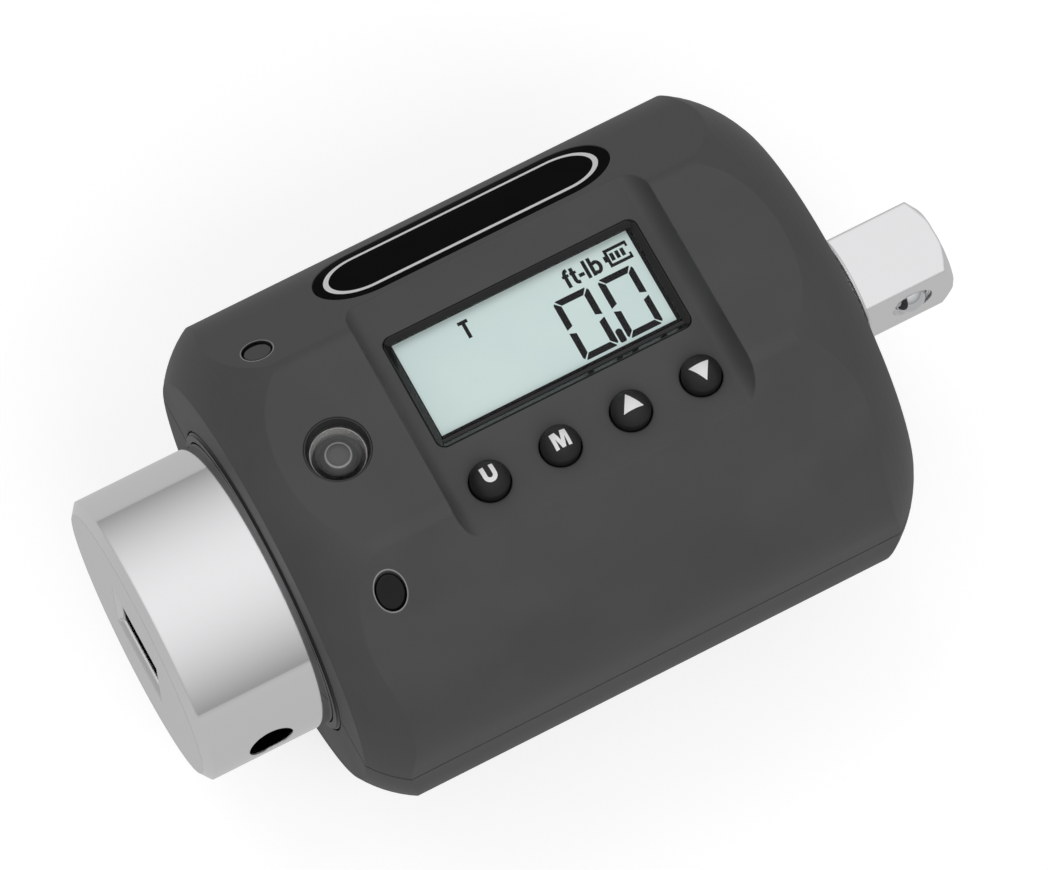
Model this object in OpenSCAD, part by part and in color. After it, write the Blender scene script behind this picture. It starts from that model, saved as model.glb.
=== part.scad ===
// Digital torque meter that sits between a ratchet and a socket.
// X runs from the female drive to the male drive, Z points out of the display.
// The drawings below are centred on the drive axis and raised by half the
// housing's width at the end, so that the housing rests on Z = 0.

/* [Housing] */
// Length of the housing beyond the battery bay, both ends together
bay_ends = 20.3; // [19.8:0.1:26]
// Width of the housing across opposite flat sides
body_flats = 56.4; // [55.6:0.1:60]
// Radius that rounds the two broad shoulders on each side
side_round = 20; // [14:0.5:21]
// Radius that softens the other long edges
crease_round = 2.6; // [1.5:0.1:3.4]
// Radius of the curve that rounds each end of the housing
end_round = 14; // [12:0.5:15]
// How far that curve has come in from the flats at the female end
female_drop = 3.8; // [3.4:0.1:4.2]
// How far that curve has come in from the flats at the male end
male_drop = 5.4; // [5:0.1:5.8]
// Thickness of the side walls
wall = 2.4; // [2.2:0.1:2.6]
// Thickness of the end walls
end_wall = 2.6; // [2.4:0.1:2.8]
// Width and depth of the fine groove on the parting line
seam_w = 0.3; // [0.2:0.05:0.5]

/* [Display panel] */
// Distance from the female end face to the recessed panel
panel_start = 17.9; // [17.6:0.1:18.2]
// Distance from the panel to the male end face
panel_end = 15; // [14.4:0.1:15.4]
// Depth of the panel below the top face
panel_depth = 3.35; // [2.8:0.05:3.6]
// Run of the hollow curve between the floor and the ends of the panel
panel_run = 2; // [1.4:0.1:2.2]
// Thickness of the shell under the panel
panel_wall = 2.2; // [2:0.1:2.4]

/* [Display] */
// Distance from the glass to the male end of the panel
glass_end = 3.8; // [3.6:0.1:4.6]
// Width of the visible glass
glass_wid = 11.9; // [11:0.1:12.2]
// Distance from the female end of the panel to the glass
glass_start = 3.7; // [3.4:0.1:4]
// Sideways place of the middle of the glass
glass_y = 3.45; // [3.2:0.05:3.6]
// Width of the rim at the two ends of the glass
rim_side = 1.05; // [0.9:0.05:1.2]
// Width of the rim between the glass and the buttons
rim_foot = 1.6; // [1.2:0.05:1.65]
// Width of the rim on the far side of the glass
rim_top = 0.7; // [0.6:0.05:1]
// Run of the slope on the rim
rim_run = 0.7; // [0.6:0.05:0.75]
// Depth of the glass below the panel
glass_sink = 0.75; // [0.6:0.05:0.9]
// Thickness of the clear window
window_t = 0.8; // [0.7:0.05:0.9]
// Thickness of the liquid crystal glass
lcd_t = 1.9; // [1.6:0.1:2.2]
// Height of the frame that carries the glass above the board
holder_h = 6.8; // [6.6:0.1:7.2]

/* [Buttons] */
// Diameter of each button
button_d = 4.4; // [4:0.1:4.6]
// Distance from the last button to the male end of the panel
button_end = 5; // [4.8:0.1:5.4]
// Distance from the female end of the panel to the first button
button_start = 5.6; // [5.2:0.1:5.8]
// Sideways place of the row of buttons
button_y = -9.9; // [-10.2:0.1:-9.6]
// How far a button travels when it is pressed
button_travel = 0.6; // [0.4:0.05:0.7]
// Height of a button's straight side above the panel
button_rise = 1.05; // [0.8:0.05:1.2]
// Height of the dome on a button
button_dome = 1.4; // [1:0.05:1.6]

/* [Lamp] */
// Distance from the female end face to the middle of the lamp
lamp_start = 10.3; // [10:0.1:10.5]
// Outer diameter of the lamp's ring
lamp_ring_d = 7.4; // [7:0.1:7.6]
// Diameter of the clear lens
lamp_lens_d = 6.3; // [6:0.1:6.6]

/* [Drive ends] */
// Length of the female collar outside the housing
collar_len = 15.7; // [14:0.1:18]
// Diameter of the female collar
collar_d = 34.2; // [33:0.1:35]
// Size of the female square
socket_size = 9.6; // [9.55:0.01:9.75]
// Depth of the female square
socket_depth = 11.6; // [10.5:0.1:12]
// Diameter of the retaining hole through the side of the collar
retain_d = 5.4; // [5:0.1:6]
// Distance from the end of the collar to the retaining hole
retain_start = 7.9; // [7.5:0.1:8.2]
// Length of the male end outside the housing
nose_len = 15; // [14.6:0.1:16]
// Size of the male square
square_size = 9.525; // [9.42:0.005:9.53]
// Length of the male square
square_len = 11.6; // [11.2:0.1:12]
// Diameter of the round shoulder behind the male square
shoulder_d = 13.3; // [13:0.1:13.6]
// Diameter of the ball in the male square
ball_d = 4; // [3.8:0.1:4]
// How far the ball stands out of the male square
ball_proud = 0.9; // [0.7:0.05:1]
// Distance from the male tip to the ball
ball_start = 5.2; // [5:0.1:5.6]

/* [Measuring shaft] */
// Diameter of the neck that the housing grips
neck_d = 24; // [23:0.1:24.4]
// Width across the two flats of the neck
neck_flats = 21.6; // [20:0.1:22]
// Diameter of the measuring section
gauge_d = 16; // [15.4:0.1:16.4]
// Width across the four flats that carry the strain gauges
gauge_flats = 14; // [13.4:0.1:14.2]

/* [Battery bay] */
// Diameter of each cell
cell_d = 10.5; // [10.2:0.1:10.6]
// Length of each cell with its button
cell_len = 44.5; // [44:0.1:44.8]
// Room for the springs at the ends of the cells
spring_room = 4.5; // [4.3:0.1:5]
// Distance from the female end face to the bay
bay_start = 10.3; // [10:0.1:11]
// Clear width of the bay
bay_wid = 22.4; // [22.2:0.1:22.6]
// Thickness of the bay's walls
bay_wall = 1.8; // [1.7:0.1:2]
// Width of the battery cover
cover_wid = 26.4; // [26:0.1:27]
// Thickness of the battery cover's skin
cover_t = 1.2; // [1:0.05:1.3]

/* [Screws] */
// Distance from an end face to the screws near it
screw_start = 8.4; // [8.2:0.1:8.6]
// Distance between the two screws of a pair
screw_gap = 31.4; // [31:0.1:31.8]
// Diameter of the recess above a screw head
recess_d = 3.5; // [3.4:0.05:3.8]
// Diameter of the screw heads
head_d = 3.1; // [2.8:0.1:3.2]
// Height of the screw heads
head_h = 1.3; // [1.1:0.1:1.5]
// Diameter of the screw shanks
shank_d = 1.8; // [1.6:0.1:1.9]

/* [Badge plate] */
// Length of the bare name plate
badge_len = 36; // [32:0.5:37]
// Width of the bare name plate
badge_wid = 12.5; // [10:0.1:12.6]
// Sideways shift of the plate on its slanted face
badge_shift = 0.6; // [0.4:0.1:1.2]
// Depth of the plate's pocket
badge_t = 0.35; // [0.3:0.05:0.5]

/* [Hidden] */
$fn = 64;

// Clearances and the overrun of every cut
cut = 1;
slip = 0.05;
fit = 0.1;
gap = 0.3;

// Housing
bay_len = cell_len + spring_room;
body_len = bay_len + bay_ends;
overall = collar_len + body_len + nose_len;
half = body_flats / 2;
body_x0 = collar_len - overall / 2;
body_x1 = body_x0 + body_len;
in_half = half - wall;
in_x0 = body_x0 + end_wall;
in_x1 = body_x1 - end_wall;
round_over = 2.5;
round_axis = half + round_over - end_round;
round_steps = [14, 6];
round_x = [body_x0 + round_reach(half - female_drop), body_x1 - round_reach(half - male_drop)];
lip_h = 1.2;
lip_t = 1.1;

// Panel
panel_x0 = body_x0 + panel_start;
panel_x1 = body_x1 - panel_end;
panel_z = half - panel_depth;
under_z = panel_z - panel_wall;
ramp_steps = 10;
roof_side = 3.6;

// Display stack, from the glass down to the board
glass_x = [panel_x0 + glass_start, panel_x1 - glass_end];
glass_span = [glass_y - glass_wid / 2, glass_y + glass_wid / 2];
window_z = panel_z - glass_sink;
lcd_z = window_z - window_t;
lcd_base = lcd_z - lcd_t;
board_z = lcd_base - holder_h;
board_t = 1.6;
board_base = board_z - board_t;
rim_x = grown(glass_x, rim_side);
rim_y = [glass_span[0] - rim_foot, glass_span[1] + rim_top];
rim_round = 1.1;
rim_edge = 0.1;
bezel_skin = 1.2;
bezel_flange_t = 0.9;
window_lap = 0.5;
lcd_lap = [1.9, 1.55];
flange_lap = 0.7;
holder_wall = 0.8;
holder_shelf = 1;
strip_w = 2;
strip_inset = 0.5;

// Buttons and their switches
button_flange_r = 3.1;
button_flange_t = 0.8;
button_rest = 0.25;
stem_r = 1.4;
switch_w = 6;
switch_h = 3.4;
plunger_r = 1.7;
plunger_up_h = 1;
plunger_down_h = 1.4;
plunger_play = 0.15;
button_run = panel_x1 - panel_x0 - button_start - button_end;
button_x = [for (i = [0 : 3]) panel_x0 + button_start + button_run * i / 3];
button_top = panel_z + button_rise + button_dome;
flange_top = under_z - button_rest;
flange_base = flange_top - button_flange_t;
switch_top = board_z + switch_h;
plunger_top = switch_top + plunger_up_h;

// Lamp
lamp_x = body_x0 + lamp_start;
ring_cone_h = 1.1;
ring_edge = 0.15;
lamp_flange_w = 0.7;
lamp_flange_r = lamp_ring_d / 2 + lamp_flange_w;
lamp_flange_t = 0.9;
lens_dome = 1.1;
led_r = 1.5;
led_flange_r = 1.9;
led_flange_t = 1;
led_lift = 2.8;
led_h = 3.4;
lead_r = 0.25;
lead_pitch = 2.54;

// Drive ends
collar_r = collar_d / 2;
collar_edge = [0.9, 1.2];
collar_inset = 1.6;
socket_lead = 0.6;
socket_relief_r = 4.4;
socket_relief = 2.2;
ring_gap = 0.15;
ring_lip_t = 0.8;
ring_lip_h = 0.3;
ring_step_t = 1;
ring_step_w = 0.2;
ring_step_h = 0.15;
ring_flange_t = 1.2;
ring_flange_w = 1.6;
ring_r0 = collar_r + ring_gap;
ring_r1 = ring_r0 + ring_lip_t;
ring_r2 = ring_r1 + ring_step_w;
tip_r = 4.9;
tip_len = 1.2;
corner_r = 6.6;
pocket_r = ball_d / 2 + fit;
lip_catch = 0.08;
lip_r = ball_d / 2 - lip_catch;
mouth_r = 2.5;
mouth_depth = 0.35;
lip_cone = 0.3;
pocket_past = 1.9;
ball_x = overall / 2 - ball_start;
ball_y = square_size / 2 - ball_d / 2 + ball_proud;
square_x0 = overall / 2 - square_len;

// Measuring shaft
rib_x0 = in_x0 + ring_flange_t + 2 * fit;
rib_t = 2.4;
neck_past = 0.4;
neck_x1 = rib_x0 + rib_t + neck_past;
taper = 2.5;
gauge_end = 16;
gauge_x = [neck_x1 + taper, body_x1 - gauge_end];
flat_mid = (panel_x0 + panel_x1) / 2;
flat_len = 18;
bush_r = 9;
bush_flange_r = 10.5;
bush_flange_t = 1.8;
clip_t = 0.9;
clip_depth = 0.65;
clip_w = 1.8;
clip_lug_r = 1.3;
clip_open = 2.2;
clip_lug_x = 2.2;
clip_x = in_x1 - bush_flange_t - clip_t - slip;

// Strain gauges and their flexible lead
foil_t = 0.15;
foil_len = 6;
foil_wid = 4;
flex_w = 4;
flex_t = 0.2;
flex_foot = 4;
flex_run = 4.5;
socket_h = 1.2;
flex_socket = [5, 6];

// Board
board_wid = 35;
board_past = [5.6, 3];
board_x = [panel_x0 - board_past[0], panel_x1 + board_past[1]];
tongue_wid = 16;
tongue_past = 3;
post_r = 2.2;
post_y = 15;
post_inset = 2.6;
post_x = [board_x[0] + post_inset, board_x[1] - post_inset];
post_screw_len = 5;
chip_w = 7;
chip_h = 1;
small_chip = [4, 5];
crystal = [3.2, 8];
buzzer_r = 4.8;
buzzer_h = 3.8;
buzzer_inset = 6.4;
buzzer_y = 11;
buzzer_place = [panel_x1 - buzzer_inset, buzzer_y];
buzzer_hole_r = 0.8;

// Screws
screw_x = [body_x0 + screw_start, body_x1 - screw_start];
screw_y = screw_gap / 2;
boss_r = 3.2;
seat_z = 7;
insert_len = 4.8;
insert_wall = 0.75;
insert_r = shank_d / 2 + insert_wall;
insert_inset = 0.3;
bit_r = 0.9;
bit_from = 0.45;
bit_w = 0.35;

// Battery bay, measured downwards from the axis
bay_x = [body_x0 + bay_start, body_x0 + bay_start + bay_len];
plug_t = 1.1;
cover_z = -(half - cover_t);
plug_z = cover_z + plug_t;
cell_rest = 0.25;
cell_z = plug_z + cell_rest + cell_d / 2;
cell_side = 0.4;
cell_y = cell_d / 2 + cell_side;
cell_over = 0.45;
bay_top = cell_z + cell_d / 2 + cell_over;
cover_lap = 1.6;
cover_screw_past = 2.6;
cover_screw_x = bay_x[1] + cover_screw_past;
cover_past = 1.5;
cover_x = [bay_x[0] - cover_lap, cover_screw_x + cover_past];
cover_boss_r = 2.3;
cover_boss_h = 6;
cover_recess = 0.8;
hook_w = 10;
hook_t = 1;
hook_reach = 2.6;
hook_root = 0.9;
grip_w = 0.8;
grip_len = 12;
grip_count = 4;
grip_depth = 0.35;
nub_r = 1.9;
nub_h = 0.8;
crimp_at = 2.6;
crimp_w = 0.7;
crimp_depth = 0.25;
contact_t = 0.4;
contact_w = 8;
contact_h = 7;
tab_w = 2.4;
tab_up = 1.2;
wire_r = 0.6;
wire_bend = 0.05;
wire_tip = wire_r + wire_bend;
lead_side = 11.4;
lead_turn_z = [-9, 8];
lead_in = 3.4;

// Springs
spring_sides = 6;
spring_steps = 12;
spring_turns = 4;
detent_wire = 0.4;
battery_wire = 0.5;

// Badge plate
badge_mid = (glass_x[0] + glass_x[1]) / 2 - gap;

// Basic solids
module rod_x(x, r) { translate([x[0], 0, 0]) rotate([0, 90, 0]) cylinder(h = x[1] - x[0], r = r); }
module rod_z(place, z, r) { translate([place[0], place[1], z[0]]) cylinder(h = z[1] - z[0], r = r); }
module block(x, y, z) { translate([x[0], y[0], z[0]]) cube([x[1] - x[0], y[1] - y[0], z[1] - z[0]]); }
module turned() { rotate([0, 90, 0]) rotate_extrude($fn = 96) children(); }
module drawn_x(x) { translate([x[0], 0, 0]) rotate([90, 0, 90]) linear_extrude(x[1] - x[0]) children(); }
module drawn_y(w) { rotate([90, 0, 0]) linear_extrude(w, center = true) children(); }
module both_sides() { children(); mirror([0, 1, 0]) children(); }

module rounded_rect(x, y, r) {
    translate([x[0] + r, y[0]]) square([x[1] - x[0] - 2 * r, y[1] - y[0]]);
    translate([x[0], y[0] + r]) square([x[1] - x[0], y[1] - y[0] - 2 * r]);
    for (cx = [x[0] + r, x[1] - r])
        for (cy = [y[0] + r, y[1] - r])
            translate([cx, cy]) circle(r = r, $fn = 32);
}

// Grows a span [low, high] at both ends
function grown(span, by) = [span[0] - by, span[1] + by];

// One octagonal section: straight flats, broad shoulders at the sides and soft edges elsewhere
function corner_round(k, shoulder, soft) = (k == 0 || k == 3 || k == 4 || k == 7) ? shoulder : soft;
function corner_centre(a, h, r) = (h - r) / cos(22.5) * [cos(a), sin(a)];
module section(h, shoulder, soft) {
    for (k = [0 : 7]) {
        a = 22.5 + 45 * k;
        r = corner_round(k, shoulder, soft);
        translate(corner_centre(a, h, r)) circle(r = r, $fn = 96);
    }
    polygon([for (k = [0 : 7]) for (side = [-22.5, 22.5])
        let(a = 22.5 + 45 * k, r = corner_round(k, shoulder, soft))
        corner_centre(a, h, r) + r * [cos(a + side), sin(a + side)]]);
}

// The curve that rounds an end: how far its centre lies from a place on it
function round_reach(height) = sqrt(pow(end_round, 2) - pow(height - round_axis, 2));

// One curved end in [distance from the axis, X], from the end face to the full width
function round_end(r, x, middle, steps) = [for (i = [0 : steps])
    let(turn = asin((x - middle) / r) * (1 - i / steps))
    [round_axis + r * cos(turn), middle + r * sin(turn)]];

// Half of the housing's outline, drawn in by t, for a solid turned about the axis
module round_view(t, x) {
    steps = t < wall ? round_steps[0] : round_steps[1];
    ends = [for (i = [0, 1]) round_end(end_round - t, x[i], round_x[i], steps)];
    polygon(concat([[0, x[0]]], ends[0], [for (i = [steps : -1 : 0]) ends[1][i]], [[0, x[1]]]));
}

// The closed form of the housing, drawn in by t when it is used for the hollow
module rounded_body(t, x, soft) {
    intersection() {
        drawn_x(x) section(half - t, side_round - t, soft);
        turned() round_view(t, x);
    }
}
module housing_outer() { rounded_body(0, [body_x0, body_x1], crease_round); }
module housing_hollow() { rounded_body(wall, [in_x0, in_x1], crease_round / 2); }
module housing_inset(t) { rounded_body(t, [body_x0 + t, body_x1 - t], crease_round - t); }
module upper_half() { block(grown([body_x0, body_x1], cut), grown([-half, half], cut), [0, half + cut]); }
module lower_half() { mirror([0, 0, 1]) upper_half(); }

// A groove of half the seam's width in each shell
module seam_groove() {
    translate([0, 0, -seam_w / 2]) linear_extrude(seam_w) difference() {
        translate([body_x0 - cut, -half - cut]) square([body_len + 2 * cut, body_flats + 2 * cut]);
        intersection() {
            translate([body_x0, seam_w - half]) square([body_len, body_flats - 2 * seam_w]);
            for (side = [0, 1]) mirror([0, side, 0])
                mirror([1, -1, 0]) round_view(seam_w, [body_x0 + seam_w, body_x1 - seam_w]);
        }
    }
}

// The recess for the panel, with a hollow curve up to each end
function hollow(turn) = [panel_run * sin(turn), panel_depth * (1 - cos(turn))];
module panel_view() {
    turns = [for (i = [0 : ramp_steps]) 90 * i / ramp_steps];
    polygon(concat(
        [for (i = [ramp_steps : -1 : 0]) let(p = hollow(turns[i]))
            [panel_x0 + panel_run - p[0], panel_z + p[1]]],
        [for (turn = turns) let(p = hollow(turn)) [panel_x1 - panel_run + p[0], panel_z + p[1]]],
        [[panel_x1, half + cut], [panel_x0, half + cut]]));
}
module panel_cut() { drawn_y(body_flats) panel_view(); }
module panel_roof() {
    block(grown([panel_x0, panel_x1], roof_side), [-half, half], [under_z, half]);
}

// The seat of the neck, with the two flats that stop the housing from turning
module neck_seat(clear) {
    intersection() {
        rod_x([rib_x0 - cut, neck_x1 + cut], neck_d / 2 + clear);
        block([rib_x0 - cut, neck_x1 + cut], [-neck_d, neck_d],
            grown([-neck_flats / 2, neck_flats / 2], clear));
    }
}

// Holes in the two end walls, shared by both shells
module end_openings() {
    rod_x([body_x0 - cut, in_x0 + cut], ring_r1 + slip);
    rod_x([body_x0 - cut, body_x0 + ring_step_t], ring_r2 + 2 * fit);
    rod_x([in_x0 - slip, rib_x0 - fit], ring_r1 + ring_flange_w + fit);
    rod_x([in_x1 - cut, body_x1 + cut], bush_r + slip);
    neck_seat(slip);
}

module boss(x, r) { both_sides() rod_z([x, screw_y], [0, half], r); }

module upper_shell() {
    color("#4b4b4d") difference() {
        intersection() {
            housing_outer();
            union() {
                difference() {
                    upper_half();
                    difference() {
                        housing_hollow();
                        panel_roof();
                    }
                }
                block([rib_x0, rib_x0 + rib_t], [-half, half], [0, half]);
                boss(screw_x[0], boss_r);
                boss(screw_x[1], boss_r);
                for (x = post_x) both_sides() rod_z([x, post_y], [board_z, half], post_r);
            }
        }
        panel_cut();
        seam_groove();
        end_openings();
        badge_pocket(0, fit);
        for (x = button_x) rod_z([x, button_y], [0, half], button_d / 2 + 2 * fit);
        rod_z([lamp_x, 0], [neck_d / 2 + cut, half + cut], lamp_ring_d / 2 + slip);
        rod_z([lamp_x, 0], [neck_d / 2 + cut, in_half], lamp_flange_r + fit);
        linear_extrude(half)
            rounded_rect(grown(rim_x, fit), grown(rim_y, fit), rim_round);
        linear_extrude(panel_z - bezel_skin)
            rounded_rect(grown(glass_x, lcd_lap[0] + flange_lap + 2 * fit),
                grown(glass_span, lcd_lap[1] + flange_lap + 2 * fit), rim_round);
        both_sides() {
            rod_z([screw_x[0], screw_y], [seat_z, half], recess_d / 2);
            rod_z([screw_x[0], screw_y], [-cut, half], shank_d / 2 + 2 * fit);
            rod_z([screw_x[1], screw_y], [-cut, insert_inset + insert_len], insert_r + slip);
            rod_z([screw_x[1], screw_y], [0, insert_len + 2 * cut], shank_d / 2 + fit);
            for (x = post_x)
                rod_z([x, post_y], [board_z - cut, board_z + post_screw_len], shank_d / 2 + slip);
        }
    }
}

// A rim on the lower shell that stands inside the upper one and lines the two up
module seam_lip() {
    x = grown(screw_x, -boss_r - cut);
    both_sides() {
        block(x, [in_half - lip_t, in_half - fit], [-lip_h, lip_h]);
        block(x, [in_half - lip_t, in_half + fit], [-lip_h, -fit]);
    }
}

module bay_box() {
    block(grown(bay_x, bay_wall), grown([-bay_wid / 2, bay_wid / 2], bay_wall),
        [-half, bay_top + bay_wall]);
}

module lower_shell() {
    color("#48484a") difference() {
        union() {
            intersection() {
                housing_outer();
                union() {
                    difference() {
                        lower_half();
                        housing_hollow();
                    }
                    mirror([0, 0, 1]) {
                        block([rib_x0, rib_x0 + rib_t], [-half, half], [0, half]);
                        boss(screw_x[0], boss_r);
                        boss(screw_x[1], boss_r);
                    }
                    bay_box();
                    rod_z([cover_screw_x, 0], [-half, -half + cover_boss_h], cover_boss_r);
                }
            }
            seam_lip();
        }
        seam_groove();
        end_openings();
        block(bay_x, [-bay_wid / 2, bay_wid / 2], [-half - cut, bay_top]);
        intersection() {
            block(grown(cover_x, fit), grown([-cover_wid / 2, cover_wid / 2], fit), [-half - cut, 0]);
            difference() {
                block(grown([body_x0, body_x1], cut), [-half, half], [-half - cut, 0]);
                housing_inset(cover_t + fit);
            }
        }
        block([bay_x[0] - hook_reach - gap, bay_x[0] + cut], grown([-hook_w / 2, hook_w / 2], fit),
            [plug_z, plug_z + hook_t + fit]);
        rod_z([cover_screw_x, 0], [-half - cut, -half + cover_boss_h - cut], shank_d / 2 + slip);
        for (y = [-cell_y, cell_y])
            block([bay_x[1] - contact_t - fit, bay_x[1]], grown([y, y], tab_w / 2 + fit),
                [bay_top - cut, bay_top + bay_wall + cut]);
        both_sides() {
            rod_z([screw_x[1], screw_y], [-half, -seat_z], recess_d / 2);
            rod_z([screw_x[1], screw_y], [-half, cut], shank_d / 2 + 2 * fit);
            rod_z([screw_x[0], screw_y], [-insert_inset - insert_len, cut], insert_r + slip);
            rod_z([screw_x[0], screw_y], [-insert_len - 2 * cut, 0], shank_d / 2 + fit);
        }
    }
}

module collar_ring() {
    color("#222224") turned() polygon([
        [ring_r0, body_x0 - ring_lip_h], [ring_r1, body_x0 - ring_lip_h],
        [ring_r1, body_x0 - ring_step_h],
        [ring_r2, body_x0], [ring_r2, body_x0 + ring_step_t], [ring_r1, body_x0 + ring_step_t],
        [ring_r1, in_x0], [ring_r1 + ring_flange_w, in_x0],
        [ring_r1 + ring_flange_w, in_x0 + ring_flange_t],
        [ring_r0, in_x0 + ring_flange_t]]);
}

// A square hole or pin that widens along X
module square_taper(x, from, to) {
    intersection() {
        drawn_y(2 * max(from, to)) taper_view(x, from, to);
        rotate([90, 0, 0]) drawn_y(2 * max(from, to)) taper_view(x, from, to);
    }
}
module taper_view(x, from, to) {
    polygon([[x[0], -from / 2], [x[1], -to / 2], [x[1], to / 2], [x[0], from / 2]]);
}

module shaft_blank() {
    turned() polygon([
        [0, -overall / 2], [collar_r - collar_edge[1], -overall / 2],
        [collar_r, collar_edge[0] - overall / 2], [collar_r, body_x0 + collar_inset],
        [neck_d / 2, body_x0 + collar_inset], [neck_d / 2, neck_x1],
        [gauge_d / 2, gauge_x[0]], [gauge_d / 2, gauge_x[1]],
        [shoulder_d / 2, gauge_x[1] + (gauge_d - shoulder_d) / 2],
        [shoulder_d / 2, clip_x], [shoulder_d / 2 - clip_depth, clip_x],
        [shoulder_d / 2 - clip_depth, clip_x + clip_t + slip], [shoulder_d / 2, clip_x + clip_t + slip],
        [shoulder_d / 2, square_x0], [0, square_x0]]);
}

module torque_shaft() {
    cone_end = square_size / 2 - mouth_depth;
    color("#d3d4d6") difference() {
        union() {
            difference() {
                shaft_blank();
                for (turn = [0, 90, 180, 270])
                    rotate([turn, 0, 0]) block(grown([flat_mid, flat_mid], flat_len / 2),
                        [-gauge_d, gauge_d], [gauge_flats / 2, gauge_d]);
                for (turn = [0, 180])
                    rotate([turn, 0, 0]) block([rib_x0 - fit, neck_x1 + cut],
                        [-neck_d, neck_d], [neck_flats / 2, neck_d]);
            }
            intersection() {
                drawn_x([square_x0 - slip, overall / 2]) square(square_size, center = true);
                turned() polygon([[0, square_x0 - slip], [corner_r, square_x0 - slip],
                    [corner_r, overall / 2 - tip_len], [tip_r, overall / 2], [0, overall / 2]]);
            }
        }
        drawn_x([-overall / 2 - cut, socket_depth - overall / 2]) square(socket_size, center = true);
        square_taper(grown([-overall / 2, -overall / 2], socket_lead),
            socket_size + 4 * socket_lead, socket_size);
        rod_x([-overall / 2, socket_depth + socket_relief - overall / 2], socket_relief_r);
        translate([retain_start - overall / 2, 0, 0]) rotate([90, 0, 0])
            cylinder(h = collar_d, r = retain_d / 2);
        translate([ball_x, 0, 0]) rotate([90, 0, 0]) {
            translate([0, 0, -pocket_past]) cylinder(h = cone_end - lip_cone + pocket_past, r = pocket_r);
            translate([0, 0, cone_end - lip_cone]) cylinder(h = lip_cone, r1 = pocket_r, r2 = lip_r);
            translate([0, 0, cone_end - slip]) cylinder(h = square_size, r = lip_r);
            translate([0, 0, cone_end]) cylinder(h = square_size, r = mouth_r);
        }
    }
}

module detent_ball() {
    color("#c4c6c8") translate([ball_x, -ball_y, 0]) sphere(r = ball_d / 2);
}

// A round wire wound along Z with its first and last rings flat on the two seats
module coil_spring(length, radius, wire) {
    steps = spring_turns * spring_steps;
    rise = length - wire;
    points = [for (i = [0 : steps]) let(a = 360 * i / spring_steps, z = wire / 2 + rise * i / steps)
        for (j = [0 : spring_sides - 1])
            let(b = 360 * j / spring_sides, r = radius + wire / 2 * cos(b))
            [r * cos(a), r * sin(a), z + wire / 2 * sin(b)]];
    sides = [for (i = [0 : steps - 1]) for (j = [0 : spring_sides - 1])
        let(k = i * spring_sides, n = (j + 1) % spring_sides, up = k + spring_sides)
        each [[k + j, k + n, up + n], [k + j, up + n, up + j]]];
    fan = [for (j = [1 : spring_sides - 2]) [0, j + 1, j]];
    last = steps * spring_sides;
    end_fan = [for (j = [1 : spring_sides - 2]) [last, last + j, last + j + 1]];
    polyhedron(points = points, faces = [for (f = concat(sides, fan, end_fan)) [f[2], f[1], f[0]]]);
}

module detent_spring() {
    back = ball_y - ball_d / 2;
    color("#9a9da0") translate([ball_x, pocket_past, 0]) rotate([90, 0, 0])
        coil_spring(pocket_past + back, pocket_r - detent_wire, detent_wire);
}

module shaft_bushing() {
    color("#1f1f21") turned() polygon([
        [shoulder_d / 2 + slip, in_x1 - bush_flange_t], [bush_flange_r, in_x1 - bush_flange_t],
        [bush_flange_r, in_x1], [bush_r, in_x1], [bush_r, body_x1 - 2 * fit], [bush_r - 2 * fit, body_x1],
        [shoulder_d / 2 + slip, body_x1]]);
}

module retaining_ring() {
    inner = shoulder_d / 2 - clip_depth + slip;
    lug_y = inner + clip_w / 2;
    color("#5f6265") drawn_x([clip_x + slip / 2, clip_x + slip / 2 + clip_t]) difference() {
        union() {
            circle(r = inner + clip_w);
            for (side = [-1, 1]) translate([side * clip_lug_x, lug_y + clip_lug_r / 2])
                circle(r = clip_lug_r);
        }
        circle(r = inner);
        translate([-clip_open / 2, 0]) square([clip_open, 2 * lug_y]);
        for (side = [-1, 1]) translate([side * clip_lug_x, lug_y + clip_lug_r / 2])
            circle(r = clip_lug_r / 3);
    }
}

// The chamfer that leads the eye down from the panel to the glass
module rim_funnel(span) {
    top = panel_z - slip;
    edge = grown(span, -rim_edge);
    foot = grown(edge, -rim_run);
    polygon([[foot[0], window_z], [foot[1], window_z], [edge[1], top], [edge[1], top + cut],
        [edge[0], top + cut], [edge[0], top]]);
}
module rim_chamfer() {
    intersection() {
        drawn_y(body_flats) rim_funnel(rim_x);
        drawn_x([panel_x0, panel_x1]) rim_funnel(rim_y);
    }
}

module slab(x, y, z, r) { translate([0, 0, z[0]]) linear_extrude(z[1] - z[0]) rounded_rect(x, y, r); }

module display_bezel() {
    flange_z = panel_z - bezel_skin - slip;
    color("#171718") difference() {
        union() {
            slab(rim_x, rim_y, [flange_z - fit, panel_z - slip], rim_round);
            slab(grown(glass_x, lcd_lap[0] + flange_lap + fit),
                grown(glass_span, lcd_lap[1] + flange_lap + fit),
                [flange_z - bezel_flange_t, flange_z], rim_round);
        }
        block(glass_x, glass_span, [0, half]);
        rim_chamfer();
        block(grown(glass_x, window_lap + fit), grown(glass_span, window_lap - fit), [0, window_z]);
        block(grown(glass_x, lcd_lap[0] + fit), grown(glass_span, lcd_lap[1] + fit), [0, lcd_z]);
    }
}

module display_window() {
    color("#dfe8e6", 0.35)
        block(grown(glass_x, window_lap), grown(glass_span, window_lap - 2 * fit), [lcd_z, window_z]);
}

module lcd_panel() {
    x = grown(glass_x, lcd_lap[0]);
    y = grown(glass_span, lcd_lap[1]);
    ledge = strip_w + strip_inset;
    color("#c9d6cf") {
        block(x, y, [lcd_z - lcd_t / 2, lcd_z]);
        block(x, [y[0] + ledge, y[1]], [lcd_base, lcd_z - lcd_t / 2]);
    }
}

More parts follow.
